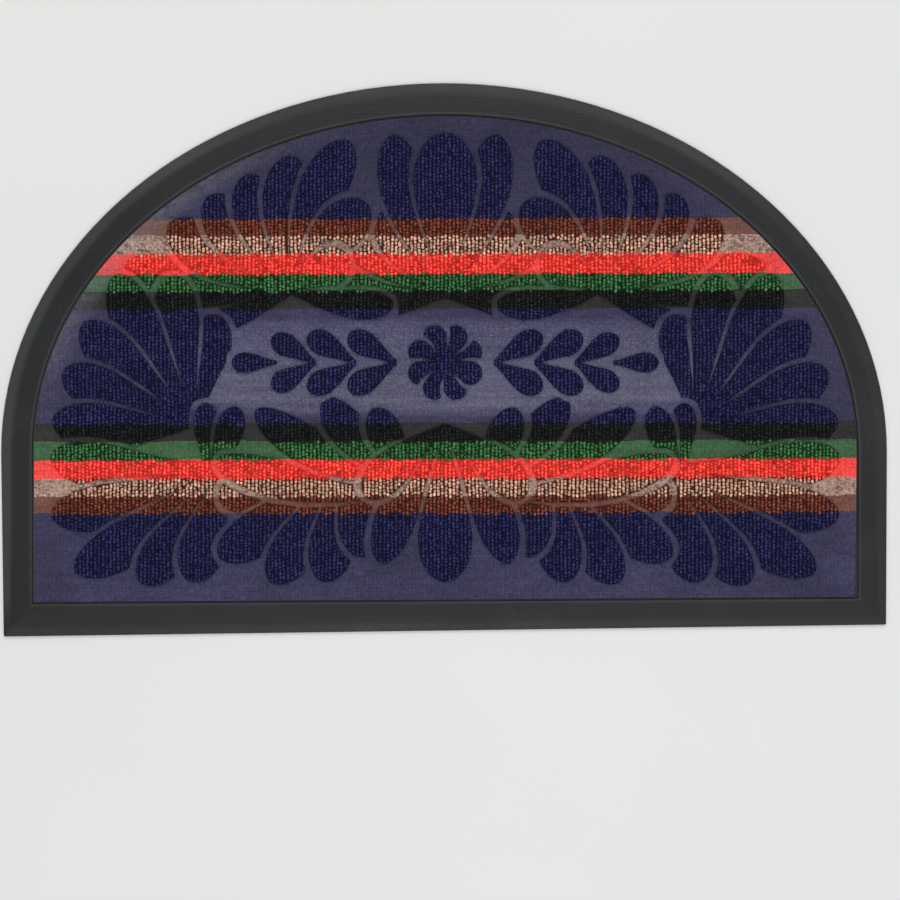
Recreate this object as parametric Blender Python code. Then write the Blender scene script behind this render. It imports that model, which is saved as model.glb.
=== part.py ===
"""Half-round doormat: a striped looped-pile panel with pressed leaf relief, laid in a moulded rubber tray.

The mat lies flat on +Z up. Its origin is the middle of its rectangular extent, on the floor, with the
straight edge towards -Y. Tables and helper functions work in millimetres, measured from the middle of
the straight edge, and the finished meshes are in metres.
"""

from math import cos, pi, radians, sin
from typing import NamedTuple

import bmesh
import bpy
from mathutils import Vector
from mathutils.geometry import delaunay_2d_cdt

MM = 0.001

# Heights above the floor, in millimetres.
TRAY_FLOOR = 2.5
RIM_EDGE = 1.4
RIM_SHOULDER = 2.5
RIM_BEVEL = 3.7
RIM_FLAT = 4.3
LIP_TOP = 4.6
LIP_EDGE = 4.2
PANEL_GAP = 0.3
PRESSED_TOP = 4.0
PILE_TOP = 7.0

# Distances inwards from the outer edge to each height of the rubber border.
SHOULDER_IN = 0.9
BEVEL_IN = 6.0
FLAT_IN = 12.0
LIP_BACK = 1.4
LIP_ROUND = 0.4

# Plan shapes: a half ellipse on short straight sides, and the groove round the panel.
SPRING_HEIGHT = 151.0
ARCH_STEPS = 72
CORNER_STEPS = 4
GROOVE = 1.5
WIDE_GROOVE = 2.6

# Leaf relief. A channel runs round each leaf, and narrows to nothing towards the leaf's root.
ORNAMENT_CENTRE = 1.0
LEAF_WIDEST = 0.68
LEAF_STEM = 0.16
LEAF_SWELL = 0.55
LEAF_STATIONS = (0.0, 0.12, 0.26, 0.40, 0.54, 0.68, 0.78, 0.86, 0.92, 0.965, 0.992, 1.0)
LEAF_REFERENCE = 100.0
SHORT_LEAF_WIDTH = 0.55
CHANNEL = 4.8
CHANNEL_START = 0.10
CHANNEL_FULL = 0.52
CHANNEL_TIP = 0.3
SPINE_STEPS = 24
SMALLEST_PATCH = 24.0
MOST_REPAIRS = 60
FLAT_ANGLE = 0.8
MARGIN_HALF_WIDTH = 333.0
MARGIN_RISE = 270.0
MARGIN_FOOT = 41.0
MERGE_DISTANCE = 0.02


class Plan(NamedTuple):
    """Outline of one layer, in millimetres from the middle of the straight edge."""

    centre: float
    half_width: float
    rise: float
    left_foot: tuple
    right_foot: tuple
    left_corner: float
    right_corner: float


OUTER = Plan(0.0, 374.6, 311.5, (-372.4, -5.5), (373.9, 4.6), 1.4, 1.4)
INNER = Plan(1.1, 348.6, 284.5, (-347.5, 22.5), (349.7, 26.9), 1.0, 1.0)
PANEL = Plan(
    INNER.centre,
    INNER.half_width - GROOVE,
    INNER.rise - GROOVE,
    (INNER.left_foot[0] + GROOVE, INNER.left_foot[1] + GROOVE),
    (INNER.right_foot[0] - WIDE_GROOVE, INNER.right_foot[1] + GROOVE),
    1.0,
    5.5,
)
MIDDLE_Y = (OUTER.left_foot[1] + SPRING_HEIGHT + OUTER.rise) / 2


class Leaf(NamedTuple):
    """One leaf: root point, heading at the root in degrees, length, greatest width and total bend."""

    x: float
    y: float
    heading: float
    length: float
    width: float
    bend: float


class Fan(NamedTuple):
    """Leaves that spread from one root, the first at one heading and each next one a step further on."""

    x: float
    y: float
    first: float
    step: float
    bend: float
    width: float
    longest: tuple


# Fans of the right half, in the order in which they overlap. Each leaf runs to the pressed margin unless
# its own limit is shorter.
FANS = (
    Fan(x=0, y=284, first=0, step=18, bend=24, width=38, longest=(102, 98, 108, 88, 150)),
    Fan(x=130, y=287, first=-12, step=20.6, bend=26, width=40,
        longest=(112, 170, 170, 170, 150, 150, 150, 98, 56)),
    Fan(x=134, y=288, first=188, step=24, bend=-26, width=26, longest=(92,)),
    Fan(x=208, y=176, first=101, step=-20, bend=24, width=39, longest=(92, 126, 170, 150, 150, 150)),
    Fan(x=201, y=128, first=88, step=24, bend=-20, width=28, longest=(64, 66)),
    Fan(x=192, y=138, first=4, step=-20, bend=24, width=39, longest=(150, 150, 150, 150, 150)),
    Fan(x=92, y=142, first=-16, step=-22.5, bend=24, width=38, longest=(104, 128, 120, 120, 84)),
    Fan(x=18, y=120, first=8, step=17, bend=30, width=32, longest=(178, 158, 114, 80)),
    Fan(x=0, y=172, first=-65, step=23, bend=-22, width=34, longest=(128, 90)),
)

# Upright leaves on the middle line, and the right half of the garland in the middle band.
MIDDLE_LEAVES = (
    Leaf(x=0, y=284, heading=90, length=136, width=54, bend=0),
    Leaf(x=0, y=160, heading=-90, length=119, width=46, bend=0),
)
GARLAND_LEAVES = (
    Leaf(x=42, y=226, heading=34, length=46, width=21, bend=-8),
    Leaf(x=42, y=226, heading=-34, length=46, width=21, bend=8),
    Leaf(x=76, y=226, heading=34, length=46, width=21, bend=-8),
    Leaf(x=76, y=226, heading=-34, length=46, width=21, bend=8),
    Leaf(x=110, y=226, heading=34, length=42, width=19, bend=-8),
    Leaf(x=110, y=226, heading=-34, length=42, width=19, bend=8),
    Leaf(x=142, y=226, heading=0, length=38, width=17, bend=0),
)
ROSETTE_PETALS = 8
ROSETTE_PETAL = Leaf(x=0, y=226, heading=0, length=33, width=20, bend=0)

# Base colour and roughness.
RUBBER_LOOK = ((0.037, 0.039, 0.039, 1.0), 0.72)
CARPET_LOOK = ((0.017, 0.018, 0.053, 1.0), 0.95)


def clear_scene():
    """Remove every object that is in the scene."""
    for thing in list(bpy.data.objects):
        bpy.data.objects.remove(thing, do_unlink=True)


def make_material(name, look):
    """Return a plain Principled material with the given colour and roughness."""
    colour, roughness = look
    material = bpy.data.materials.new(name)
    material.use_nodes = True
    shader = material.node_tree.nodes["Principled BSDF"]
    shader.inputs["Base Color"].default_value = colour
    shader.inputs["Roughness"].default_value = roughness
    shader.inputs["Metallic"].default_value = 0.0
    material.diffuse_color = colour
    return material


def rounded_corner(before, corner, after, radius):
    """Return points of a small bend that replaces a corner between two straight edges."""
    start = corner + (before - corner).normalized() * radius
    end = corner + (after - corner).normalized() * radius
    points = []
    for step in range(CORNER_STEPS + 1):
        t = step / CORNER_STEPS
        points.append(start * (1 - t) ** 2 + corner * 2 * t * (1 - t) + end * t ** 2)
    return points


def plan_points(plan):
    """Return the outline of a layer, anticlockwise from the right end of its arch."""
    points = []
    for step in range(ARCH_STEPS + 1):
        angle = pi * step / ARCH_STEPS
        across = plan.centre + plan.half_width * cos(angle)
        along = SPRING_HEIGHT + plan.rise * sin(angle)
        points.append(Vector((across, along)))
    left = Vector(plan.left_foot)
    right = Vector(plan.right_foot)
    points += rounded_corner(points[-1], left, right, plan.left_corner)
    points += rounded_corner(left, right, points[0], plan.right_corner)
    return points


def between(first, second, distance):
    """Return the outline that lies a distance from the first one, towards the second one."""
    ring = []
    for start, end in zip(first, second):
        share = distance / (end - start).length
        ring.append(start.lerp(end, share))
    return ring


def add_ring(bm, points, height):
    """Add a closed loop of edges at one height, and return its vertices and edges."""
    verts = [bm.verts.new((point.x * MM, (point.y - MIDDLE_Y) * MM, height * MM)) for point in points]
    edges = [bm.edges.new((verts[i - 1], verts[i])) for i in range(len(verts))]
    return verts, edges


def finish_object(name, bm, look):
    """Turn a finished bmesh into a named object with its own material."""
    bmesh.ops.recalc_face_normals(bm, faces=bm.faces)
    mesh = bpy.data.meshes.new(name)
    bm.to_mesh(mesh)
    bm.free()
    mesh.materials.append(make_material(name, look))
    thing = bpy.data.objects.new(name, mesh)
    bpy.context.scene.collection.objects.link(thing)
    return thing


def build_rubber_base():
    """Build the moulded tray: a thin flat sheet inside a raised border that slopes down to its outer edge."""
    outer = plan_points(OUTER)
    inner = plan_points(INNER)
    profile = (
        (outer, 0.0),
        (outer, RIM_EDGE),
        (between(outer, inner, SHOULDER_IN), RIM_SHOULDER),
        (between(outer, inner, BEVEL_IN), RIM_BEVEL),
        (between(outer, inner, FLAT_IN), RIM_FLAT),
        (between(inner, outer, LIP_BACK), LIP_TOP),
        (between(inner, outer, LIP_ROUND), LIP_TOP),
        (inner, LIP_EDGE),
        (inner, TRAY_FLOOR),
    )
    bm = bmesh.new()
    rings = [add_ring(bm, points, height) for points, height in profile]
    for (_, lower), (_, upper) in zip(rings, rings[1:]):
        bmesh.ops.bridge_loops(bm, edges=lower + upper)
    bm.faces.new(rings[0][0])
    bm.faces.new(rings[-1][0])
    base = finish_object("rubber_base", bm, RUBBER_LOOK)
    base.data.shade_smooth()
    base.data.set_sharp_from_angle(angle=radians(30))
    return base


def width_share(t):
    """Return a leaf's width at a share of its length, as a share of its greatest width."""
    if t < LEAF_WIDEST:
        rise = t / LEAF_WIDEST
        swell = rise + LEAF_SWELL * (rise * rise * (3 - 2 * rise) - rise)
        return LEAF_STEM + (1 - LEAF_STEM) * swell
    fall = (t - LEAF_WIDEST) / (1 - LEAF_WIDEST)
    return max(0.0, 1 - fall ** 2.3) ** 0.55


def channel_share(t):
    """Return the width of the channel beside a leaf, as a share of the full channel."""
    if t == 1.0:
        return CHANNEL_TIP
    rise = min(max((t - CHANNEL_START) / (CHANNEL_FULL - CHANNEL_START), 0.0), 1.0)
    return rise * rise * (3 - 2 * rise)


def leaf_outline(leaf, channel):
    """Return a leaf's outline, a bent spine with a rounded tip and a narrow root, or that of its channel."""
    spine = [(Vector((leaf.x, leaf.y)), radians(leaf.heading))]
    for step in range(SPINE_STEPS):
        middle = radians(leaf.heading + leaf.bend * (step + 0.5) / SPINE_STEPS)
        stride = Vector((cos(middle), sin(middle))) * (leaf.length + channel) / SPINE_STEPS
        turn = radians(leaf.heading + leaf.bend * (step + 1) / SPINE_STEPS)
        spine.append((spine[-1][0] + stride, turn))
    left = []
    right = []
    for t in LEAF_STATIONS:
        index = min(int(t * SPINE_STEPS), SPINE_STEPS - 1)
        share = t * SPINE_STEPS - index
        point = spine[index][0].lerp(spine[index + 1][0], share)
        turn = spine[index][1] + (spine[index + 1][1] - spine[index][1]) * share
        half = leaf.width / 2 * width_share(t) + channel * channel_share(t)
        aside = Vector((-sin(turn), cos(turn))) * half
        left.append(point + aside)
        right.append(point - aside)
    if channel == 0.0:
        right.pop()
    return right + left[::-1]


def margin_distance(x, y, heading):
    """Return how far it is from a root to the pressed margin, going straight along a heading."""
    across = cos(radians(heading))
    along = sin(radians(heading))
    distance = 0.0
    inside = True
    while inside:
        distance += 1.0
        to_x = x + distance * across
        to_y = y + distance * along
        inside = to_y > MARGIN_FOOT and abs(to_x) < MARGIN_HALF_WIDTH
        if to_y > SPRING_HEIGHT:
            reach = (to_x / MARGIN_HALF_WIDTH) ** 2 + ((to_y - SPRING_HEIGHT) / MARGIN_RISE) ** 2
            inside = inside and reach < 1
    return distance


def fan_leaves(fan):
    """Return the leaves of a fan. A short leaf is narrower than a long one."""
    leaves = []
    for index, longest in enumerate(fan.longest):
        heading = fan.first + fan.step * index
        length = min(margin_distance(fan.x, fan.y, heading), longest)
        fullness = SHORT_LEAF_WIDTH + (1 - SHORT_LEAF_WIDTH) * length / LEAF_REFERENCE
        width = fan.width * min(fullness, 1.0)
        leaves.append(Leaf(fan.x, fan.y, heading - fan.bend / 2, length, width, fan.bend))
    return leaves


def mirrored(leaf):
    """Return a leaf's twin on the other side of the middle line."""
    return leaf._replace(x=-leaf.x, heading=180 - leaf.heading, bend=-leaf.bend)


def ornament_outlines():
    """Return two outlines for each leaf, back to front: its channel's and its own."""
    leaves = []
    for fan in FANS:
        for leaf in fan_leaves(fan):
            leaves += [leaf, mirrored(leaf)]
    leaves += MIDDLE_LEAVES
    for leaf in GARLAND_LEAVES:
        leaves += [leaf, mirrored(leaf)]
    for petal in range(ROSETTE_PETALS):
        leaves.append(ROSETTE_PETAL._replace(heading=360 * (petal + 0.5) / ROSETTE_PETALS))
    centre = Vector((ORNAMENT_CENTRE, 0.0))
    outlines = []
    for leaf in leaves:
        for channel in (CHANNEL, 0.0):
            outlines.append([point + centre for point in leaf_outline(leaf, channel)])
    return outlines


def patches(bm):
    """Return the connected patches of faces that all stand up or all lie low."""
    left = set(bm.faces)
    found = []
    while left:
        start = left.pop()
        patch = [start]
        for face in patch:
            for edge in face.edges:
                for other in edge.link_faces:
                    if other in left and other.material_index == start.material_index:
                        left.remove(other)
                        patch.append(other)
        found.append(patch)
    return found


def flip_small_patches(bm):
    """Let a patch that is too small to be pressed or left standing go with what is round it."""
    for patch in patches(bm):
        area = sum(face.calc_area() for face in patch)
        if area < SMALLEST_PATCH * MM * MM:
            for face in patch:
                face.material_index = 1 - face.material_index


def on_the_brink(edge):
    """Return whether an edge has the raised pile on one side alone."""
    return len(edge.link_faces) == 2 and len({face.material_index for face in edge.link_faces}) == 2


def join_touching_corners(bm):
    """Raise the ground where two raised patches meet in one point, so that they join."""
    for _ in range(MOST_REPAIRS):
        pinched = [vert for vert in bm.verts if sum(on_the_brink(edge) for edge in vert.link_edges) > 2]
        for vert in pinched:
            low = [face for face in vert.link_faces if face.material_index == 0]
            if low:
                min(low, key=lambda face: face.calc_area()).material_index = 1
        if not pinched:
            return


def build_carpet():
    """Build the carpet panel: a thin pressed sheet with its pile standing up where the leaves are."""
    outlines = [plan_points(PANEL)] + ornament_outlines()
    points = []
    loops = []
    for outline in outlines:
        loops.append(list(range(len(points), len(points) + len(outline))))
        points += outline
    plan_verts, _, plan_faces, _, _, inside_of = delaunay_2d_cdt(points, [], loops, 1, MERGE_DISTANCE)
    bm = bmesh.new()
    verts = [bm.verts.new((p.x * MM, (p.y - MIDDLE_Y) * MM, PRESSED_TOP * MM)) for p in plan_verts]
    for corners, loops_here in zip(plan_faces, inside_of):
        face = bm.faces.new([verts[corner] for corner in corners])
        front = max(loops_here)
        face.material_index = int(front > 0 and front % 2 == 0)
    flip_small_patches(bm)
    join_touching_corners(bm)
    bmesh.ops.dissolve_limit(
        bm, angle_limit=radians(FLAT_ANGLE), use_dissolve_boundaries=False,
        verts=bm.verts, edges=bm.edges, delimit={"MATERIAL"}
    )
    bmesh.ops.triangulate(bm, faces=bm.faces, quad_method="BEAUTY", ngon_method="BEAUTY")
    raised = [face for face in bm.faces if face.material_index == 1]
    rim = [edge for edge in bm.edges if edge.is_boundary]
    pile = bmesh.ops.extrude_face_region(bm, geom=raised)
    bmesh.ops.delete(bm, geom=raised, context="FACES")
    pile_verts = [item for item in pile["geom"] if isinstance(item, bmesh.types.BMVert)]
    bmesh.ops.translate(bm, verts=pile_verts, vec=(0, 0, (PILE_TOP - PRESSED_TOP) * MM))
    side = bmesh.ops.extrude_edge_only(bm, edges=rim)
    side_verts = [item for item in side["geom"] if isinstance(item, bmesh.types.BMVert)]
    side_edges = [item for item in side["geom"] if isinstance(item, bmesh.types.BMEdge)]
    bmesh.ops.translate(bm, verts=side_verts, vec=(0, 0, (TRAY_FLOOR + PANEL_GAP - PRESSED_TOP) * MM))
    open_edges = [edge for edge in side_edges if edge.is_boundary]
    bmesh.ops.contextual_create(bm, geom=open_edges)
    for face in bm.faces:
        face.material_index = 0
    return finish_object("carpet", bm, CARPET_LOOK)


def main():
    """Build the doormat."""
    clear_scene()
    build_rubber_base()
    build_carpet()


if __name__ == "__main__":
    main()
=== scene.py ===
"""Dresses the half-round doormat: its rubber tray, its pressed carpet panel and its looped pile.

Everything is in metres and in the CAD frame: +Z is up, the straight edge lies towards -Y, the arch lies
towards +Y, and the origin is the middle of the rectangular extent, on the floor.
"""

import logging
from dataclasses import dataclass, field
from enum import Enum
from math import cos, pi, radians, sin, tan
from typing import Any

import bmesh
import bpy
import numpy as np
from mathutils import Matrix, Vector, noise
from mathutils.bvhtree import BVHTree


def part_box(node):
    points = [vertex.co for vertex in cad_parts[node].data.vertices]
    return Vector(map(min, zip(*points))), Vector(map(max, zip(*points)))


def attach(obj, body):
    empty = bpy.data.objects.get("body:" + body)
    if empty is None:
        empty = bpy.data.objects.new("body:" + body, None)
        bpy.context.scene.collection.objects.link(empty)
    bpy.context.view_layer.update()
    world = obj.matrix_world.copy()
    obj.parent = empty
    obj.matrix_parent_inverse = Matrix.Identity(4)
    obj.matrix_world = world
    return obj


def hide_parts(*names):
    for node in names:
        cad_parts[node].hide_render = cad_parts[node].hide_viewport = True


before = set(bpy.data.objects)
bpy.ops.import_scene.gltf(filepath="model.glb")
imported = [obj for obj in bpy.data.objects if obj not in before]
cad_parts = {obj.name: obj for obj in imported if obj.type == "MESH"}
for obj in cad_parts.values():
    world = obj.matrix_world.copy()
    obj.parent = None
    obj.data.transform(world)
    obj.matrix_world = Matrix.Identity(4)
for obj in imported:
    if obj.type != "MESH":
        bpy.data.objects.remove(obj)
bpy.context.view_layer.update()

BODY = "root"
MM = 0.001
MERGE_DISTANCE = 0.00001
DOWN = Vector((0.0, 0.0, -1.0))

# Height of the straight edge's middle in the frame, and the slant of the woven stripes.
EDGE_Y = -0.2285
SLANT = tan(radians(0.17))

# Heights of the pressed ground and of the leaves in the CAD carpet.
PRESSED_TOP = 0.0040
LEAF_TEST = 0.0065

Colour = tuple[float, float, float]
Socket = bpy.types.NodeSocket

log = logging.getLogger("doormat")


def rgba(colour: Colour) -> tuple[float, float, float, float]:
    """Return a colour with full alpha."""
    return (*colour, 1.0)


def wave_scale(pitch: float) -> float:
    """Return the Wave Texture scale that repeats once in a pitch given in metres."""
    return 2 * pi / (20 * pitch)


class Slot(Enum):
    """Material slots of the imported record."""

    RUBBER = "rubber"
    CARPET = "carpet"


class Yarn(Enum):
    """Colours of yarn in the carpet."""

    NAVY = "navy"
    BROWN = "brown"
    TAN = "tan"
    RED = "red"
    GREEN = "green"
    BLACK = "black"


class Wiring:
    """Adds nodes to one node tree and links them."""

    def __init__(self, tree: bpy.types.NodeTree) -> None:
        """Keep the tree that the nodes go into."""
        self.tree = tree

    def add(self, kind: str, inputs: dict[Any, Any] | None = None, **settings: Any) -> bpy.types.Node:
        """Add one node.

        Args:
            kind: Type of the node, without the words that every shader node's type starts with.
            inputs: A value or a socket for each input, by name or number.
            settings: Properties of the node itself.

        Returns:
            The new node.
        """
        node = self.tree.nodes.new("ShaderNode" + kind)
        for name, value in settings.items():
            setattr(node, name, value)
        for key, value in (inputs or {}).items():
            self.feed(node, key, value)
        return node

    def feed(self, node: bpy.types.Node, key: Any, value: Any) -> None:
        """Link a socket to an input, or set the input's own value.

        Args:
            node: The node that has the input.
            key: Name or number of the input.
            value: A socket, or a plain value.
        """
        if isinstance(value, Socket):
            self.tree.links.new(value, node.inputs[key])
        else:
            node.inputs[key].default_value = value

    def math(self, operation: str, first: Any, second: Any = 0.0, third: Any = 0.0) -> Socket:
        """Return the result of one sum.

        Args:
            operation: What the Math node does.
            first: First term.
            second: Second term.
            third: Third term, where the sum has one.

        Returns:
            The socket with the result.
        """
        return self.add("Math", {0: first, 1: second, 2: third}, operation=operation).outputs[0]

    def remap(self, value: Any, low: float, high: float, to_low: float = 0.0, to_high: float = 1.0) -> Socket:
        """Return a value carried smoothly from one range to another.

        Args:
            value: The value.
            low: Start of its range.
            high: End of its range.
            to_low: Result at the start.
            to_high: Result at the end.

        Returns:
            The socket with the result.
        """
        ends = {"Value": value, "From Min": low, "From Max": high, "To Min": to_low, "To Max": to_high}
        return self.add("MapRange", ends, interpolation_type="SMOOTHSTEP").outputs["Result"]

    def mix(self, share: Any, first: Any, second: Any, blend: str = "MIX") -> Socket:
        """Return a colour made from two.

        Args:
            share: Share of the second colour.
            first: First colour.
            second: Second colour.
            blend: How the two are blended.

        Returns:
            The socket with the colour.
        """
        ends = {0: share, 6: first, 7: second}
        return self.add("Mix", ends, data_type="RGBA", blend_type=blend).outputs[2]

    def shaded(self, colour: Any, shade: Any) -> Socket:
        """Return a colour multiplied by a value."""
        return self.add("VectorMath", {0: colour, "Scale": shade}, operation="SCALE").outputs[0]

    def stretched(self, vector: Any, scale: tuple[float, float, float], turn: float = 0.0) -> Socket:
        """Return coordinates scaled along each axis, and turned about Z.

        Args:
            vector: The coordinates.
            scale: Factor for each axis.
            turn: Turn about Z in radians.

        Returns:
            The socket with the new coordinates.
        """
        ends = {"Vector": vector, "Scale": scale, "Rotation": (0.0, 0.0, turn)}
        return self.add("Mapping", ends).outputs[0]


@dataclass(frozen=True)
class Effect:
    """A shader node group that several finishes share, built the first time that it is placed."""

    name: str = ""
    inputs: tuple[tuple[str, str, Any], ...] = ()
    outputs: tuple[str, ...] = ()

    def wire(self, wiring: Wiring, given: Any) -> dict[str, Socket]:
        """Build the inside of the group.

        Args:
            wiring: The group's own tree.
            given: Output sockets of the group's input node.

        Returns:
            The socket for each of the group's outputs.
        """
        raise NotImplementedError

    def tree(self) -> bpy.types.NodeTree:
        """Return the node group, built on its first use."""
        tree = bpy.data.node_groups.get(self.name)
        if tree is not None:
            return tree
        tree = bpy.data.node_groups.new(self.name, "ShaderNodeTree")
        for name, kind, value in self.inputs:
            socket = tree.interface.new_socket(name, in_out="INPUT", socket_type=kind)
            socket.default_value = value
        for name in self.outputs:
            tree.interface.new_socket(name, in_out="OUTPUT", socket_type="NodeSocketFloat")
        made = self.wire(Wiring(tree), tree.nodes.new("NodeGroupInput").outputs)
        sink = tree.nodes.new("NodeGroupOutput")
        for name, socket in made.items():
            tree.links.new(socket, sink.inputs[name])
        return tree

    def place(self, wiring: Wiring, **values: Any) -> Any:
        """Place the group in a material.

        Args:
            wiring: The material's tree.
            values: A value or a socket for each input. An underscore stands for a space in its name.

        Returns:
            The output sockets of the placed group.
        """
        inputs = {key.replace("_", " "): value for key, value in values.items()}
        return wiring.add("Group", inputs, node_tree=self.tree()).outputs


@dataclass(frozen=True)
class Strands(Effect):
    """Fine twisted fibres that run up and down the panel."""

    name: str = "yarn_strands"
    inputs: tuple = (
        ("Vector", "NodeSocketVector", (0.0, 0.0, 0.0)),
        ("Fineness", "NodeSocketFloat", 1.0),
        ("Contrast", "NodeSocketFloat", 0.2),
    )
    outputs: tuple = ("Shade", "Height")

    def wire(self, wiring: Wiring, given: Any) -> dict[str, Socket]:
        """Build the inside of the group. Args and Returns are those of Effect."""
        scaled = wiring.add("VectorMath", {0: given["Vector"], "Scale": given["Fineness"]}, operation="SCALE")
        along = wiring.stretched(scaled.outputs[0], (2600.0, 900.0, 1500.0), 0.25)
        fibre = wiring.add("TexNoise", {"Vector": along, "Scale": 1.0, "Detail": 3.0, "Roughness": 0.6})
        swing = wiring.math("MULTIPLY", wiring.math("SUBTRACT", fibre.outputs["Fac"], 0.5), 2.0)
        shade = wiring.math("MULTIPLY_ADD", swing, given["Contrast"], 1.0)
        return {"Shade": shade, "Height": fibre.outputs["Fac"]}


@dataclass(frozen=True)
class Mottle(Effect):
    """Slow cloudy change of tone."""

    name: str = "mottle"
    inputs: tuple = (
        ("Vector", "NodeSocketVector", (0.0, 0.0, 0.0)),
        ("Scale", "NodeSocketFloat", 10.0),
        ("Low", "NodeSocketFloat", 0.9),
        ("High", "NodeSocketFloat", 1.1),
    )
    outputs: tuple = ("Shade",)

    def wire(self, wiring: Wiring, given: Any) -> dict[str, Socket]:
        """Build the inside of the group. Args and Returns are those of Effect."""
        clouds = wiring.add("TexNoise", {"Vector": given["Vector"], "Scale": given["Scale"], "Detail": 4.0})
        ends = {"Value": clouds.outputs["Fac"], "From Min": 0.3, "From Max": 0.7}
        spread = wiring.add("MapRange", ends)
        wiring.feed(spread, "To Min", given["Low"])
        wiring.feed(spread, "To Max", given["High"])
        return {"Shade": spread.outputs["Result"]}


@dataclass(frozen=True)
class Lint(Effect):
    """Small scattered specks of lint and dust."""

    name: str = "lint_specks"
    inputs: tuple = (
        ("Vector", "NodeSocketVector", (0.0, 0.0, 0.0)),
        ("Scale", "NodeSocketFloat", 300.0),
        ("Amount", "NodeSocketFloat", 0.2),
    )
    outputs: tuple = ("Mask",)

    def wire(self, wiring: Wiring, given: Any) -> dict[str, Socket]:
        """Build the inside of the group. Args and Returns are those of Effect."""
        cells = wiring.add("TexVoronoi", {"Vector": given["Vector"], "Scale": given["Scale"]})
        near = wiring.remap(cells.outputs["Distance"], 0.34, 0.12)
        channels = wiring.add("SeparateColor", {0: cells.outputs["Color"]})
        keep = wiring.math("LESS_THAN", channels.outputs[0], given["Amount"])
        return {"Mask": wiring.math("MULTIPLY", near, keep)}


@dataclass(frozen=True)
class Crinkle(Effect):
    """Pale wandering creases, where flattened loops lie over one another."""

    name: str = "crinkle"
    inputs: tuple = (
        ("Vector", "NodeSocketVector", (0.0, 0.0, 0.0)),
        ("Sharpness", "NodeSocketFloat", 5.0),
    )
    outputs: tuple = ("Crease",)

    def wire(self, wiring: Wiring, given: Any) -> dict[str, Socket]:
        """Build the inside of the group. Args and Returns are those of Effect."""
        across = wiring.stretched(given["Vector"], (240.0, 430.0, 100.0), -0.12)
        hills = wiring.add("TexNoise", {"Vector": across, "Scale": 1.0, "Detail": 3.0, "Distortion": 0.8})
        swing = wiring.math("MULTIPLY_ADD", hills.outputs["Fac"], 2.0, -1.0)
        ridge = wiring.math("SUBTRACT", 1.0, wiring.math("ABSOLUTE", swing))
        return {"Crease": wiring.math("POWER", ridge, given["Sharpness"])}


STRANDS = Strands()
MOTTLE = Mottle()
LINT = Lint()
CRINKLE = Crinkle()


def new_material(name: str) -> tuple[bpy.types.Material, Wiring, bpy.types.Node]:
    """Start a material.

    Args:
        name: Its name.

    Returns:
        The material, the wiring of its tree, and its Principled shader.
    """
    material = bpy.data.materials.new(name)
    material.use_nodes = True
    wiring = Wiring(material.node_tree)
    return material, wiring, material.node_tree.nodes["Principled BSDF"]


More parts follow.
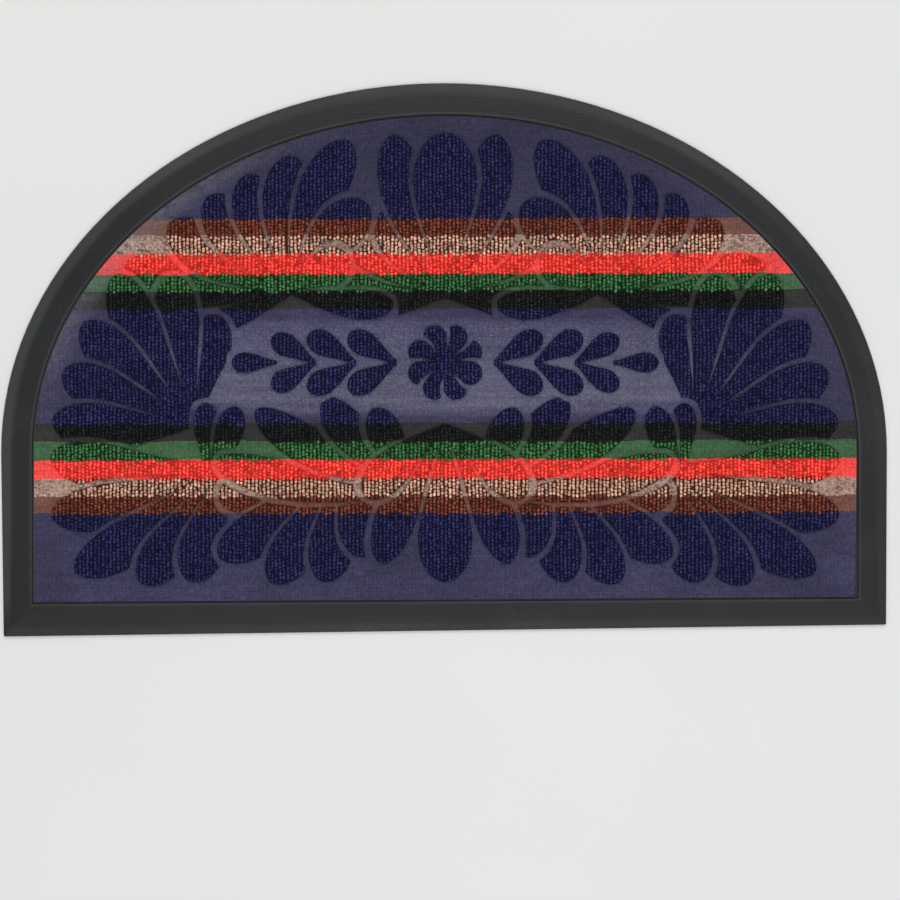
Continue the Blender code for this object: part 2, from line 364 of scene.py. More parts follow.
@dataclass(frozen=True)
class RubberFinish:
    """Matt moulded rubber: a fine cross hatch, painted light on the outer slope, a painted highlight on the lip,
    painted shade at the outer foot, and some dust.
    """

    base: Colour = (0.0092, 0.0105, 0.0113)
    # Painted light: the outer slope's colour is paler than the flat, as the light falls on it.
    painted_light_slope: Colour = (0.0145, 0.0163, 0.0160)
    # Painted highlight: the top of the lip is paler, as if it caught the light.
    painted_highlight_lip: Colour = (0.028, 0.029, 0.032)
    # Painted shade: the outer side of the border is darker, where shade falls.
    edge: Colour = (0.006, 0.0065, 0.006)
    dust: Colour = (0.20, 0.20, 0.19)
    roughness: float = 0.48
    specular: float = 0.34
    hatch_pitch: float = 0.0016
    rib_pitch: float = 0.0019
    relief: float = 0.00012
    dust_share: float = 0.10
    # Painted reflection: these bounds and factors make the outer slope paler at the left and at the arch's
    # shoulders.
    painted_light_side: tuple[float, float] = (0.35, 0.14)
    painted_light_top: tuple[float, float] = (0.165, 0.228)
    painted_light_foot: tuple[float, float] = (-0.229, -0.196)
    painted_light_least: float = 0.92
    painted_light_gain: float = 1.60

    def wear_and_painted_light(self, wiring: Wiring, across: Socket, upward: Socket) -> Socket:
        """Find how much painted light and painted reflection brighten the outer slope, most at the left and at the
        shoulders of the arch.

        Args:
            wiring: The material's tree.
            across: X of the Object coordinates.
            upward: Their Y.

        Returns:
            The socket with the factor for the slope's colour.
        """
        side = wiring.remap(across, *self.painted_light_side, 0.12, 1.0)
        top = wiring.remap(upward, *self.painted_light_top, 1.0, 0.12)
        foot = wiring.remap(upward, *self.painted_light_foot)
        painted_light = wiring.math("MULTIPLY", wiring.math("MULTIPLY", side, top), foot)
        return wiring.math("MULTIPLY_ADD", painted_light, self.painted_light_gain, self.painted_light_least)

    def material(self) -> bpy.types.Material:
        """Return the rubber material."""
        material, wiring, shader = new_material("matt_rubber")
        spot = wiring.add("TexCoord").outputs["Object"]
        parts = wiring.add("SeparateXYZ", {0: spot}).outputs
        height = parts["Z"]
        clouds = MOTTLE.place(wiring, Vector=spot, Scale=9.0, Low=0.82, High=1.22)["Shade"]
        waves = []
        for turn, pitch in ((pi / 4, self.hatch_pitch), (-pi / 4, self.hatch_pitch), (pi / 2, self.rib_pitch)):
            turned = wiring.stretched(spot, (1.0, 1.0, 1.0), turn)
            wave = wiring.add("TexWave", {"Vector": turned, "Scale": wave_scale(pitch)})
            waves.append(wave.outputs["Fac"])
        hatch = wiring.math("MULTIPLY", waves[0], waves[1])
        grain = wiring.add("TexNoise", {"Vector": spot, "Scale": 1400.0, "Detail": 4.0}).outputs["Fac"]
        relief = wiring.math("ADD", wiring.math("MULTIPLY_ADD", waves[2], 0.5, hatch), grain)
        # Painted light and painted reflection on the outer slope.
        painted_light_slope = wiring.shaded(self.painted_light_slope, self.wear_and_painted_light(wiring, parts["X"], parts["Y"]))
        colour = wiring.mix(wiring.remap(height, 4.34 * MM, 3.72 * MM), rgba(self.base), painted_light_slope)
        # Painted highlight along the top of the lip.
        colour = wiring.mix(wiring.remap(height, 4.565 * MM, 4.60 * MM), colour, rgba(self.painted_highlight_lip))
        # Painted shade on the outer side of the border, below 2.2 mm.
        colour = wiring.mix(wiring.remap(height, 2.2 * MM, 0.6 * MM), colour, rgba(self.edge))
        shade = wiring.math("MULTIPLY", clouds, wiring.math("MULTIPLY_ADD", relief, 0.44, 0.52))
        colour = wiring.shaded(colour, shade)
        specks = LINT.place(wiring, Vector=spot, Scale=330.0, Amount=0.06)["Mask"]
        smears = wiring.remap(MOTTLE.place(wiring, Vector=spot, Scale=24.0, Low=0.0, High=1.0)["Shade"], 0.6, 1.0)
        dusty = wiring.math("MULTIPLY", wiring.math("MAXIMUM", specks, wiring.math("MULTIPLY", smears, 0.2)),
                            self.dust_share)
        colour = wiring.mix(dusty, colour, rgba(self.dust))
        bump = wiring.add("Bump", {"Strength": 0.6, "Distance": self.relief, "Height": relief})
        wiring.feed(shader, "Base Color", colour)
        wiring.feed(shader, "Roughness", wiring.math("MULTIPLY", clouds, self.roughness))
        wiring.feed(shader, "Specular IOR Level", self.specular)
        wiring.feed(shader, "Normal", bump.outputs["Normal"])
        return material


@dataclass(frozen=True)
class YarnFinish:
    """One colour of loop yarn.

    The tuft is the top of a loop, the root is the gap between loops, made dark as painted shade, and pressed
    is the ironed ground. The crinkle is how far pale creases show in that ground.
    """

    tuft: Colour
    # Painted shade: the root colour is dark where the gaps between loops lie in shade.
    root: Colour
    pressed: Colour
    crinkle: float = 0.14
    strands: float = 0.35
    sheen: float = 0.04
    roughness: float = 0.88

    def material(self, yarn: Yarn) -> bpy.types.Material:
        """Build the material of loops in this yarn.

        Args:
            yarn: The yarn, for the material's name.

        Returns:
            The material.
        """
        material, wiring, shader = new_material("loop_" + yarn.value)
        spot = wiring.add("TexCoord").outputs["Object"]
        height = wiring.add("SeparateXYZ", {0: spot}).outputs["Z"]
        tone = wiring.add("Attribute", attribute_name="tone").outputs["Fac"]
        strands = STRANDS.place(wiring, Vector=spot, Contrast=self.strands)
        clouds = MOTTLE.place(wiring, Vector=spot, Scale=30.0, Low=0.88, High=1.12)["Shade"]
        # Painted shade: each loop darkens from its top down to its root.
        colour = wiring.mix(wiring.remap(height, 5.2 * MM, 6.4 * MM), rgba(self.root), rgba(self.tuft))
        # The tone holds random variation, and painted shadow on loops at a leaf's edge.
        shade = wiring.math("MULTIPLY", wiring.math("MULTIPLY", tone, strands["Shade"]), clouds)
        colour = wiring.shaded(colour, shade)
        bump = wiring.add("Bump", {"Strength": 0.7, "Distance": 0.00025, "Height": strands["Height"]})
        wiring.feed(shader, "Base Color", colour)
        wiring.feed(shader, "Roughness", self.roughness)
        wiring.feed(shader, "Specular IOR Level", 0.0)
        wiring.feed(shader, "Sheen Weight", self.sheen)
        wiring.feed(shader, "Sheen Roughness", 0.5)
        wiring.feed(shader, "Normal", bump.outputs["Normal"])
        return material


# The root colours are painted shade for the gaps between loops.
YARNS: dict[Yarn, YarnFinish] = {
    Yarn.NAVY: YarnFinish((0.0300, 0.0305, 0.0990), (0.0003, 0.0005, 0.0215), (0.0425, 0.0395, 0.0865), sheen=0.0),
    Yarn.BROWN: YarnFinish((0.208, 0.056, 0.035), (0.0370, 0.0030, 0.0010), (0.166, 0.070, 0.055)),
    Yarn.TAN: YarnFinish((0.645, 0.372, 0.266), (0.0430, 0.0110, 0.0040), (0.258, 0.166, 0.134), crinkle=1.7),
    Yarn.RED: YarnFinish((1.000, 0.094, 0.067), (0.6200, 0.0110, 0.0080), (0.860, 0.066, 0.057)),
    Yarn.GREEN: YarnFinish((0.058, 0.174, 0.066), (0.0003, 0.0220, 0.0006), (0.046, 0.114, 0.050), sheen=0.0),
    Yarn.BLACK: YarnFinish((0.0180, 0.0192, 0.0186), (0.0001, 0.0001, 0.0001), (0.026, 0.027, 0.025), sheen=0.0),
}


@dataclass(frozen=True)
class Band:
    """One woven stripe: its yarn, and how far above the straight edge it starts, in millimetres."""

    name: str
    yarn: Yarn
    start: float


@dataclass(frozen=True)
class Stripes:
    """The woven stripes, from the straight edge to the top of the arch."""

    bands: tuple[Band, ...] = (
        Band("navy_lower", Yarn.NAVY, 0.0),
        Band("brown_lower", Yarn.BROWN, 98.4),
        Band("tan_lower", Yarn.TAN, 113.2),
        Band("red_lower", Yarn.RED, 127.7),
        Band("green_lower", Yarn.GREEN, 143.9),
        Band("black_lower", Yarn.BLACK, 158.8),
        Band("navy_middle", Yarn.NAVY, 174.1),
        Band("black_upper", Yarn.BLACK, 270.3),
        Band("green_upper", Yarn.GREEN, 286.0),
        Band("red_upper", Yarn.RED, 300.5),
        Band("tan_upper", Yarn.TAN, 316.6),
        Band("brown_upper", Yarn.BROWN, 332.7),
        Band("navy_upper", Yarn.NAVY, 347.3),
    )
    reach: float = 500.0

    def ramp(self, wiring: Wiring, along: Any, colours: dict[Yarn, Colour]) -> Socket:
        """Colour the cloth by its stripes.

        Args:
            wiring: The tree that the ramp goes into.
            along: Distance above the straight edge, in metres.
            colours: The colour of each yarn.

        Returns:
            The socket with the colour.
        """
        share = wiring.math("DIVIDE", along, self.reach * MM)
        node = wiring.add("ValToRGB", {0: share})
        ramp = node.color_ramp
        ramp.interpolation = "CONSTANT"
        ramp.elements.remove(ramp.elements[-1])
        ramp.elements[0].color = rgba(colours[self.bands[0].yarn])
        for band in self.bands[1:]:
            ramp.elements.new(band.start / self.reach).color = rgba(colours[band.yarn])
        return node.outputs["Color"]

    def numbers(self, along: np.ndarray) -> np.ndarray:
        """Return the number of the stripe at each distance above the straight edge, in metres."""
        starts = np.array([band.start for band in self.bands[1:]]) * MM
        return np.searchsorted(starts, along, side="right")


STRIPES = Stripes()


@dataclass(frozen=True)
class PressedFinish:
    """The carpet's ironed ground, and the roots between loops, made dark as painted shade."""

    wobble: float = 0.0022
    feather: float = 0.0007
    sheen_centre: tuple[float, float] = (0.001, -0.0065)
    sheen_half: tuple[float, float] = (0.250, 0.0395)
    sheen_gain: float = 0.42
    haze: Colour = (0.168, 0.167, 0.208)
    haze_share: float = 0.33
    haze_from: float = 0.028
    haze_to: float = -0.022
    rim_centre: float = 0.001
    rim_half: tuple[float, float] = (0.347, 0.283)
    rim_spring: float = 0.151
    rim_from: float = 0.935
    rim_side: tuple[float, float] = (-0.08, -0.24)
    rim_low: tuple[float, float] = (0.17, 0.27)
    rim_share: float = 0.32
    rim_fuzz: Colour = (0.170, 0.168, 0.180)
    crease_middle: float = 0.35
    arch_from: float = 0.10
    arch_to: float = 0.20
    # Painted shade: the ground's factor at the top of the arch.
    arch_painted_shade: float = 0.68
    wipe_stretch: tuple[float, float, float] = (0.35, 1.5, 1.0)
    wipe_turn: float = 0.10
    streak_stretch: tuple[float, float, float] = (0.16, 2.2, 1.0)
    speck: Colour = (0.42, 0.41, 0.45)
    lint: float = 0.08
    middle_lint: float = 0.20
    fluff: float = 0.30
    loop_pitch: tuple[float, float] = (0.0033, 0.00282)
    roughness: float = 0.86

    def middle(self, wiring: Wiring, across: Socket, upward: Socket) -> Socket:
        """Mask the paler field in the middle band.

        Args:
            wiring: The material's tree.
            across: X of the Object coordinates.
            upward: Their Y.

        Returns:
            The socket with the mask, 1 inside the field and 0 outside it.
        """
        powers = []
        for place, centre, half in zip((across, upward), self.sheen_centre, self.sheen_half):
            offset = wiring.math("DIVIDE", wiring.math("SUBTRACT", place, centre), half)
            powers.append(wiring.math("POWER", offset, 4.0))
        return wiring.remap(wiring.math("ADD", *powers), 1.5, 0.3)

    def haze_mask(self, wiring: Wiring, spot: Socket, upward: Socket, middle: Socket) -> Socket:
        """Mask the pale worn haze, which is streaky and thickest in the lower part of the middle band.

        Args:
            wiring: The material's tree.
            spot: Object coordinates.
            upward: Their Y.
            middle: Mask of the paler field.

        Returns:
            The socket with the mask.
        """
        streaks = wiring.stretched(spot, self.streak_stretch, self.wipe_turn / 2)
        wear_and_painted_light = MOTTLE.place(wiring, Vector=streaks, Scale=90.0, Low=0.25, High=1.45)["Shade"]
        depth = wiring.remap(upward, self.haze_from, self.haze_to, 0.35, 1.0)
        share = wiring.math("MULTIPLY", wiring.math("MULTIPLY", wear_and_painted_light, depth), self.haze_share)
        return wiring.math("MULTIPLY", share, middle)

    def rim_mask(self, wiring: Wiring, spot: Socket, across: Socket, along: Socket) -> Socket:
        """Mask the pale fuzz along the panel's cut edge, which is thickest at the left of the arch.

        Args:
            wiring: The material's tree.
            spot: Object coordinates.
            across: Their X.
            along: Distance above the straight edge.

        Returns:
            The socket with the mask.
        """
        half_x, half_y = self.rim_half
        out = wiring.math("DIVIDE", wiring.math("SUBTRACT", across, self.rim_centre), half_x)
        rise = wiring.math("MAXIMUM", wiring.math("SUBTRACT", along, self.rim_spring), 0.0)
        rise = wiring.math("DIVIDE", rise, half_y)
        reach = wiring.math("ADD", wiring.math("MULTIPLY", out, out), wiring.math("MULTIPLY", rise, rise))
        near = wiring.remap(wiring.math("SQRT", reach), self.rim_from, 1.0)
        side = wiring.remap(across, *self.rim_side, 0.08, 1.0)
        low = wiring.remap(along, *self.rim_low, 0.04, 1.0)
        wear_and_painted_light = MOTTLE.place(wiring, Vector=spot, Scale=160.0, Low=0.35, High=1.35)["Shade"]
        share = wiring.math("MULTIPLY", wiring.math("MULTIPLY", side, low), wear_and_painted_light)
        return wiring.math("MULTIPLY", wiring.math("MULTIPLY", near, share), self.rim_share)

    def ground_shade(self, wiring: Wiring, spot: Socket, upward: Socket, middle: Socket) -> Socket:
        """Shade the ground: cloudy, brighter in the middle, darker in the arch as painted shade, with faint
        flattened loops.

        Args:
            wiring: The material's tree.
            spot: Object coordinates.
            upward: Their Y.
            middle: Mask of the paler field.

        Returns:
            The socket with the factor for the colour.
        """
        clouds = MOTTLE.place(wiring, Vector=spot, Scale=14.0, Low=0.85, High=1.16)["Shade"]
        wiped = wiring.stretched(spot, self.wipe_stretch, self.wipe_turn)
        fine = MOTTLE.place(wiring, Vector=wiped, Scale=120.0, Low=0.86, High=1.15)["Shade"]
        pitch_x, pitch_y = self.loop_pitch
        cells = wiring.stretched(spot, (1 / pitch_x, 1 / pitch_y, 0.0))
        flat = wiring.add("TexVoronoi", {"Vector": cells, "Scale": 1.0, "Randomness": 0.45})
        loops = wiring.remap(flat.outputs["Distance"], 0.75, 0.25, 0.78, 1.10)
        gain = wiring.math("MULTIPLY_ADD", middle, self.sheen_gain, 1.0)
        # Painted shade: the ground darkens towards the top of the arch.
        arch = wiring.remap(upward, self.arch_from, self.arch_to, 1.0, self.arch_painted_shade)
        cloudy = wiring.math("MULTIPLY", wiring.math("MULTIPLY", clouds, fine), arch)
        return wiring.math("MULTIPLY", cloudy, wiring.math("MULTIPLY", loops, gain))

    def material(self) -> bpy.types.Material:
        """Return the material of the carpet's ground and roots."""
        material, wiring, shader = new_material("pressed_carpet")
        spot = wiring.add("TexCoord").outputs["Object"]
        parts = wiring.add("SeparateXYZ", {0: spot}).outputs
        wander = wiring.add("TexNoise", {"Vector": spot, "Scale": 55.0, "Detail": 3.0}).outputs["Fac"]
        ragged = wiring.add("TexNoise", {"Vector": spot, "Scale": 900.0, "Detail": 2.0}).outputs["Fac"]
        straight = wiring.math("MULTIPLY_ADD", parts["X"], -SLANT, wiring.math("SUBTRACT", parts["Y"], EDGE_Y))
        along = wiring.math("MULTIPLY_ADD", wiring.math("SUBTRACT", wander, 0.5), self.wobble * 2, straight)
        along = wiring.math("MULTIPLY_ADD", wiring.math("SUBTRACT", ragged, 0.5), self.feather * 2, along)
        ground = STRIPES.ramp(wiring, along, {yarn: look.pressed for yarn, look in YARNS.items()})
        # Painted shade: the dark root colours of each stripe.
        painted_shade_roots = STRIPES.ramp(wiring, along, {yarn: look.root for yarn, look in YARNS.items()})
        depths = STRIPES.ramp(wiring, along, {yarn: (look.crinkle,) * 3 for yarn, look in YARNS.items()})
        strands = STRANDS.place(wiring, Vector=spot, Fineness=0.30, Contrast=0.60)
        middle = self.middle(wiring, parts["X"], parts["Y"])
        ground = wiring.shaded(ground, self.ground_shade(wiring, spot, parts["Y"], middle))
        rim = self.rim_mask(wiring, spot, parts["X"], straight)
        ground = wiring.mix(self.haze_mask(wiring, spot, parts["Y"], middle), ground, rgba(self.haze))
        ground = wiring.mix(rim, ground, rgba(self.rim_fuzz))
        ground = wiring.shaded(ground, strands["Shade"])
        crease = wiring.math("SUBTRACT", CRINKLE.place(wiring, Vector=spot)["Crease"], self.crease_middle)
        ground = wiring.shaded(ground, wiring.math("MULTIPLY_ADD", crease, depths, 1.0))
        specks = LINT.place(wiring, Vector=spot, Scale=560.0, Amount=0.08)["Mask"]
        strength = wiring.math("MULTIPLY_ADD", middle, self.middle_lint, self.lint)
        fluffy = wiring.math("MULTIPLY", wiring.math("MAXIMUM", middle, rim), self.fluff)
        fluff = wiring.math("MULTIPLY", wiring.remap(ragged, 0.55, 0.72), fluffy)
        fuzz = wiring.math("MAXIMUM", wiring.math("MULTIPLY", specks, strength), fluff)
        ground = wiring.mix(fuzz, ground, rgba(self.speck))
        # Painted shade: where the cloth stands up under the loops, it takes the dark root colours.
        standing = wiring.remap(parts["Z"], PRESSED_TOP + 0.1 * MM, PRESSED_TOP + 0.9 * MM)
        colour = wiring.mix(standing, ground, painted_shade_roots)
        bump = wiring.add("Bump", {"Strength": 0.5, "Distance": 0.0002, "Height": strands["Height"]})
        wiring.feed(shader, "Base Color", colour)
        wiring.feed(shader, "Roughness", self.roughness)
        wiring.feed(shader, "Specular IOR Level", 0.2)
        wiring.feed(shader, "Sheen Weight", 0.06)
        wiring.feed(shader, "Normal", bump.outputs["Normal"])
        return material


@dataclass(frozen=True)
class FloorFinish:
    """A plain pale floor with a faint unevenness."""

    base: Colour = (0.800, 0.800, 0.790)
    roughness: float = 0.75

    def material(self) -> bpy.types.Material:
        """Return the floor material."""
        material, wiring, shader = new_material("pale_floor")
        spot = wiring.add("TexCoord").outputs["Object"]
        clouds = MOTTLE.place(wiring, Vector=spot, Scale=2.0, Low=0.985, High=1.015)["Shade"]
        wiring.feed(shader, "Base Color", wiring.shaded(self.base, clouds))
        wiring.feed(shader, "Roughness", self.roughness)
        wiring.feed(shader, "Specular IOR Level", 0.2)
        return material


def merged_copy(node: str) -> bmesh.types.BMesh:
    """Copy a CAD node's mesh, and join its loose triangles.

    Args:
        node: Name of the node.

    Returns:
        The closed mesh, still in editing form.
    """
    bm = bmesh.new()
    bm.from_mesh(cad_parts[node].data)
    bmesh.ops.remove_doubles(bm, verts=bm.verts, dist=MERGE_DISTANCE)
    return bm


def finish_piece(name: str, mesh: bpy.types.Mesh, material: bpy.types.Material) -> bpy.types.Object:
    """Make an object of a finished mesh, dress it, and let it ride on the mat.

    Args:
        name: Name of the piece.
        mesh: Its mesh, in place.
        material: Its material.

    Returns:
        The new piece.
    """
    mesh.materials.clear()
    mesh.materials.append(material)
    piece = bpy.data.objects.new(name, mesh)
    bpy.context.scene.collection.objects.link(piece)
    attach(piece, BODY)
    log.info("%s: %d faces", name, len(mesh.polygons))
    return piece


@dataclass
class RubberTray:
    """The moulded tray: a thin sheet inside a sloping border with a small lip."""

    bevel: float = 0.00022
    bevel_steps: int = 3
    sharp: float = radians(28)
    smooth: float = radians(40)
    look: RubberFinish = field(default_factory=RubberFinish)

    def build(self) -> bpy.types.Object:
        """Build and dress the tray, with small rounds on its moulded edges.

        Returns:
            The tray.
        """
        bm = merged_copy("rubber_base")
        bmesh.ops.join_triangles(
            bm, faces=bm.faces, angle_face_threshold=radians(4), angle_shape_threshold=radians(70)
        )
        edges = [edge for edge in bm.edges if edge.is_manifold and edge.calc_face_angle() > self.sharp]
        bmesh.ops.bevel(
            bm, geom=edges, offset=self.bevel, offset_type="OFFSET", segments=self.bevel_steps, profile=0.5,
            affect="EDGES", clamp_overlap=True, material=-1
        )
        mesh = bpy.data.meshes.new("rubber_tray")
        bm.to_mesh(mesh)
        bm.free()
        mesh.shade_smooth()
        mesh.set_sharp_from_angle(angle=self.smooth)
        piece = finish_piece("rubber_tray", mesh, self.look.material())
        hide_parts("rubber_base")
        return piece


@dataclass
class CarpetPanel:
    """The carpet's cloth: its pressed ground, and low leaves that carry the loops."""

    leaf_drop: float = 0.0016
    cut_size: tuple[float, float] = (0.694, 0.411)
    cut_area: float = 0.2384
    look: PressedFinish = field(default_factory=PressedFinish)

    def build(self) -> bpy.types.Object:
        """Build and dress the cloth.

        Returns:
            The cloth.
        """
        bm = merged_copy("carpet")
        tops = [vert for vert in bm.verts if vert.co.z > LEAF_TEST]
        bmesh.ops.translate(bm, verts=tops, vec=DOWN * self.leaf_drop)
        mesh = bpy.data.meshes.new("carpet_cloth")
        bm.to_mesh(mesh)
        bm.free()
        piece = finish_piece("carpet_cloth", mesh, self.look.material())
        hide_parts("carpet")
        return piece


@dataclass
class LoopPile:
    """The looped pile that stands on every leaf, in one piece for each stripe that it crosses."""

    pitch: tuple[float, float] = (0.00325, 0.00282)
    unevenness: float = 0.26
    column_drift: float = 0.00010
    loop_size: tuple[float, float] = (0.00256, 0.00316)
    foot: float = 0.0050
    crown: float = 0.0070
    squareness: float = 0.80
    fullness: float = 0.72
    rim: float = 0.0014
    rim_push: float = 0.0013
    rim_size: float = 0.78
    rim_drop: float = 0.0006
    # Painted shadow: loops at a leaf's edge are darkened by this factor.
    rim_painted_shadow: float = 0.80
    wander: float = 0.0007
    wander_scale: float = 34.0
    jitter: float = 0.00021
    tone_spread: float = 0.26
    seed: int = 11
    segments: int = 8
    rings: int = 6
    tray_share: float = 0.985

    def template(self) -> tuple[np.ndarray, np.ndarray, np.ndarray]:
        """Build one loop as a closed dome of unit size.

        Returns:
            Its points, the point of each face corner, and the number of corners of each face.
        """
        bm = bmesh.new()
        bmesh.ops.create_uvsphere(bm, u_segments=self.segments, v_segments=self.rings, radius=1.0)
        geom = bm.verts[:] + bm.edges[:] + bm.faces[:]
        bmesh.ops.bisect_plane(bm, geom=geom, dist=0.0001, plane_co=(0, 0, 0), plane_no=DOWN, clear_outer=True)
        bmesh.ops.contextual_create(bm, geom=[edge for edge in bm.edges if edge.is_boundary])
        bmesh.ops.recalc_face_normals(bm, faces=bm.faces)
        bm.verts.index_update()
        points = np.array([vert.co for vert in bm.verts])
        corners = np.array([vert.index for face in bm.faces for vert in face.verts])
        sizes = np.array([len(face.verts) for face in bm.faces])
        bm.free()
        points[:, :2] = np.sign(points[:, :2]) * np.abs(points[:, :2]) ** self.squareness
        points[:, 2] = np.maximum(points[:, 2], 0.0) ** self.fullness
        return points, corners, sizes

    def sites(self) -> np.ndarray:
        """Find where a loop stands.

        Returns:
            A row for each loop: X, Y, distance above the straight edge, how much pile is round it, and its
            length along its column as a share of the mean.
        """
        bm = merged_copy("carpet")
        leaves = BVHTree.FromBMesh(bm)
        bm.free()
        low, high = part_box("carpet")
        above = high.z + self.rim

        def raised(x: float, y: float) -> bool:
            """Return whether the carpet stands up at a point."""
            hit = leaves.ray_cast(Vector((x, y, above)), DOWN)[0]
            return hit is not None and hit.z > LEAF_TEST

        random = np.random.default_rng(self.seed)
        step_x, step_y = self.pitch
        around = [Vector((cos(angle), sin(angle))) for angle in np.arange(8) * pi / 4]
        found = []
        count = round((high.y - low.y) / step_y)
        for column in np.arange(low.x, high.x, step_x):
            x = column + random.normal(0, self.column_drift)
            lengths = random.uniform(1 - self.unevenness, 1 + self.unevenness, count)
            lengths *= count / lengths.sum()
            ends = low.y - EDGE_Y + (np.cumsum(lengths) - lengths / 2) * (high.y - low.y) / count
            for along, length in zip(ends, lengths):
                y = along + EDGE_Y + x * SLANT
                if raised(x, y):
                    held = [way for way in around if raised(x + way.x * self.rim, y + way.y * self.rim)]
                    push = sum(held, Vector((0.0, 0.0))) * self.rim_push / len(around)
                    found.append((x + push.x, y + push.y, along, len(held) / len(around), length))
        return np.array(found)

    def placed(self, sites: np.ndarray) -> tuple[np.ndarray, np.ndarray]:
        """Shape a loop at each site.

        Args:
            sites: Rows as sites() gives them.

        Returns:
            The points of every loop, and the tone of each loop, with painted shadow on loops at a leaf's edge.
        """
        points = self.template()[0]
        count = len(sites)
        random = np.random.default_rng(self.seed + count)
        patch = np.array([noise.noise(Vector((x * 60, y * 60, 0.0))) for x, y in sites[:, :2]])
        drift = np.array([noise.noise_vector(Vector((x, y, 0.0)) * self.wander_scale)[:2] for x, y in sites[:, :2]])
        centres = sites[:, :2] + drift * self.wander + random.normal(0, self.jitter, (count, 2))
        full = sites[:, 3]
        height = self.crown - self.foot - self.rim_drop * (1 - full) - random.uniform(0, 0.00035, count)
        rim_size = self.rim_size + (1 - self.rim_size) * full
        size_x = self.loop_size[0] / 2 * random.uniform(0.86, 1.10, count) * rim_size
        size_y = self.loop_size[1] / 2 * random.uniform(0.92, 1.06, count) * rim_size * sites[:, 4]
        turn = random.normal(0, 0.16, count) + patch * 0.4
        lean_x = random.normal(0, 0.00026, count) + patch * 0.0004
        lean_y = random.normal(0, 0.00030, count)
        shape = points[None] * np.stack([size_x, size_y, height], axis=1)[:, None]
        lifted = points[None, :, 2] ** 2
        x = shape[..., 0] * np.cos(turn)[:, None] - shape[..., 1] * np.sin(turn)[:, None]
        y = shape[..., 0] * np.sin(turn)[:, None] + shape[..., 1] * np.cos(turn)[:, None]
        x += centres[:, 0, None] + lean_x[:, None] * lifted
        y += centres[:, 1, None] + lean_y[:, None] * lifted
        # Random tone, with painted shadow darkening the loops along a leaf's edge.
        tone = random.normal(1.0, self.tone_spread, count) * (self.rim_painted_shadow + (1 - self.rim_painted_shadow) * full)
        return np.stack([x, y, shape[..., 2] + self.foot], axis=2), np.clip(tone, 0.4, 1.5)

    def joined(self, name: str, sites: np.ndarray) -> bpy.types.Mesh:
        """Join the loops of one stripe into one mesh.

        Args:
            name: Name of the mesh.
            sites: Rows as sites() gives them.

        Returns:
            The mesh, with a tone on its points and a flat map seen from above.
        """
        points, tone = self.placed(sites)
        count, each = points.shape[:2]
        corners, sizes = self.template()[1:]
        flat = points.reshape(-1, 3)
        all_corners = (corners[None] + np.arange(count)[:, None] * each).ravel()
        all_sizes = np.tile(sizes, count)
        mesh = bpy.data.meshes.new(name)
        mesh.vertices.add(len(flat))
        mesh.vertices.foreach_set("co", flat.ravel())
        mesh.loops.add(len(all_corners))
        mesh.loops.foreach_set("vertex_index", all_corners)
        mesh.polygons.add(len(all_sizes))
        mesh.polygons.foreach_set("loop_start", np.cumsum(all_sizes) - all_sizes)
        mesh.update(calc_edges=True)
        mesh.shade_smooth()
        mesh.attributes.new("tone", "FLOAT", "POINT").data.foreach_set("value", np.repeat(tone, each))
        low, high = flat[:, :2].min(axis=0), flat[:, :2].max(axis=0)
        chart = (flat[all_corners, :2] - low) / (high - low)
        under = np.repeat(all_sizes == self.segments, all_sizes)
        chart[:, 1] = np.where(under, self.tray_share + (1 - self.tray_share) * chart[:, 1],
                               chart[:, 1] * self.tray_share)
        mesh.uv_layers.new(name="OFBake").uv.foreach_set("vector", chart.ravel())
        return mesh

    def build(self) -> list[bpy.types.Object]:
        """Build and dress the pile of every stripe.

        Returns:
            The pieces.
        """
        sites = self.sites()
        numbers = STRIPES.numbers(sites[:, 2])
        materials = {yarn: look.material(yarn) for yarn, look in YARNS.items()}
        pieces = []
        for number, band in enumerate(STRIPES.bands):
            mesh = self.joined("pile_" + band.name, sites[numbers == number])
            pieces.append(finish_piece("pile_" + band.name, mesh, materials[band.yarn]))
        log.info("loops in all: %d", len(sites))
        return pieces


@dataclass(frozen=True)
class Lamp:
    """One soft square light: its place, its side and its power in watts."""

    name: str
    place: tuple[float, float, float]
    side: float
    power: float


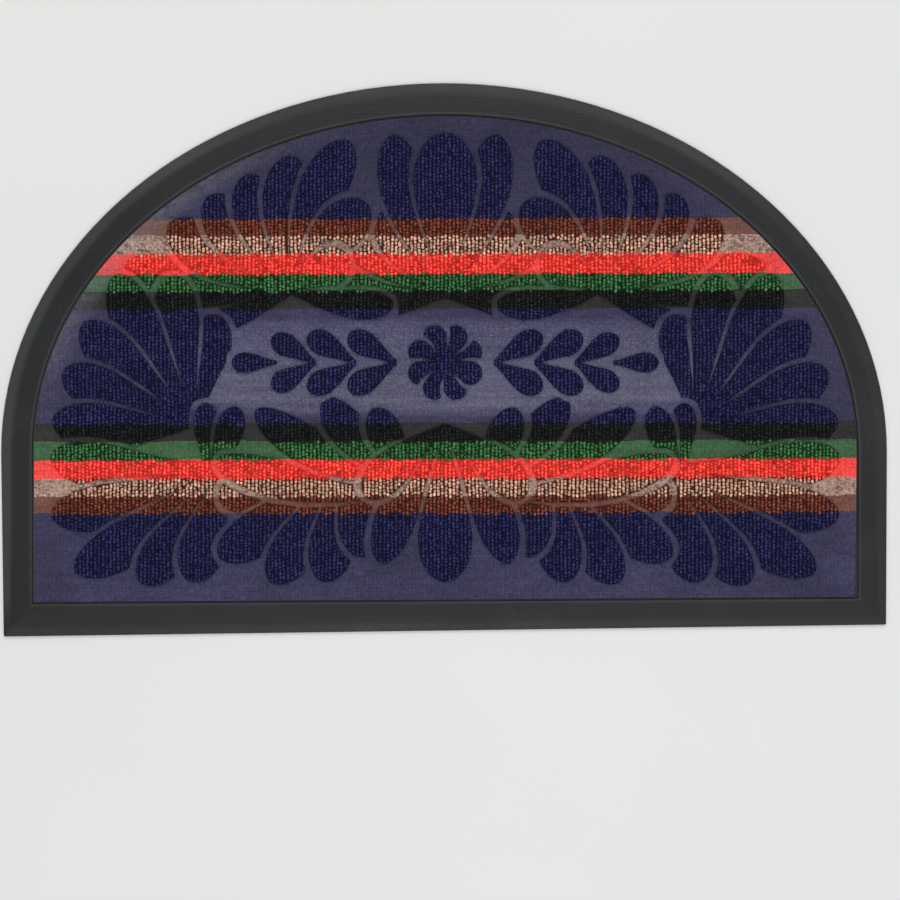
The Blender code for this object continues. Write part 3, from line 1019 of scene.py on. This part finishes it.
@dataclass
class Studio:
    """The floor, the soft lights and the camera straight above the mat."""

    view_centre: tuple[float, float] = (0.00506, -0.0762)
    view_width: float = 0.7593
    camera_height: float = 1.3
    sensor: float = 36.0
    floor_half: float = 2.5
    floor_drop: float = 0.00015
    sky: float = 0.54
    lamps: tuple[Lamp, ...] = (
        Lamp("key_light", (0.0, 1.9, 2.0), 1.0, 21.0),
        Lamp("side_light", (1.9, -0.2, 2.0), 1.0, 4.0),
        Lamp("fill_light", (0.0, -1.8, 2.2), 2.0, 26.0),
    )
    floor_look: FloorFinish = field(default_factory=FloorFinish)

    def add_floor(self) -> None:
        """Lay the floor just under the mat."""
        bm = bmesh.new()
        bmesh.ops.create_grid(bm, x_segments=1, y_segments=1, size=self.floor_half)
        bmesh.ops.translate(bm, verts=bm.verts, vec=DOWN * self.floor_drop)
        mesh = bpy.data.meshes.new("floor")
        bm.to_mesh(mesh)
        bm.free()
        mesh.materials.append(self.floor_look.material())
        floor = bpy.data.objects.new("floor", mesh)
        bpy.context.scene.collection.objects.link(floor)

    def add_lamp(self, lamp: Lamp) -> None:
        """Hang one lamp, turned to the middle of the mat.

        Args:
            lamp: The lamp's sizes.
        """
        data = bpy.data.lights.new(lamp.name, "AREA")
        data.shape = "SQUARE"
        data.size = lamp.side
        data.energy = lamp.power
        light = bpy.data.objects.new(lamp.name, data)
        light.location = lamp.place
        light.rotation_euler = (-Vector(lamp.place)).to_track_quat("-Z", "Y").to_euler()
        bpy.context.scene.collection.objects.link(light)

    def add_camera(self) -> None:
        """Place the camera straight above, as wide as the picture."""
        data = bpy.data.cameras.new("camera")
        data.sensor_width = self.sensor
        data.lens = self.sensor * self.camera_height / self.view_width
        camera = bpy.data.objects.new("camera", data)
        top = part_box("rubber_base")[1].z
        camera.location = (*self.view_centre, top + self.camera_height)
        bpy.context.scene.collection.objects.link(camera)
        bpy.context.scene.camera = camera

    def build(self) -> None:
        """Set the floor, the sky, the lamps and the camera."""
        scene = bpy.context.scene
        scene.view_settings.view_transform = "Standard"
        world = bpy.data.worlds.new("studio_sky")
        world.use_nodes = True
        world.node_tree.nodes["Background"].inputs["Color"].default_value = (1.0, 1.0, 1.0, 1.0)
        world.node_tree.nodes["Background"].inputs["Strength"].default_value = self.sky
        scene.world = world
        self.add_floor()
        for lamp in self.lamps:
            self.add_lamp(lamp)
        self.add_camera()


def main() -> None:
    """Build the mat piece by piece, then the studio."""
    logging.basicConfig(level=logging.INFO, format="%(message)s")
    tray = RubberTray().build()
    panel = CarpetPanel()
    cloth = panel.build()
    pile = LoopPile().build()
    Studio().build()


if __name__ == "__main__":
    main()
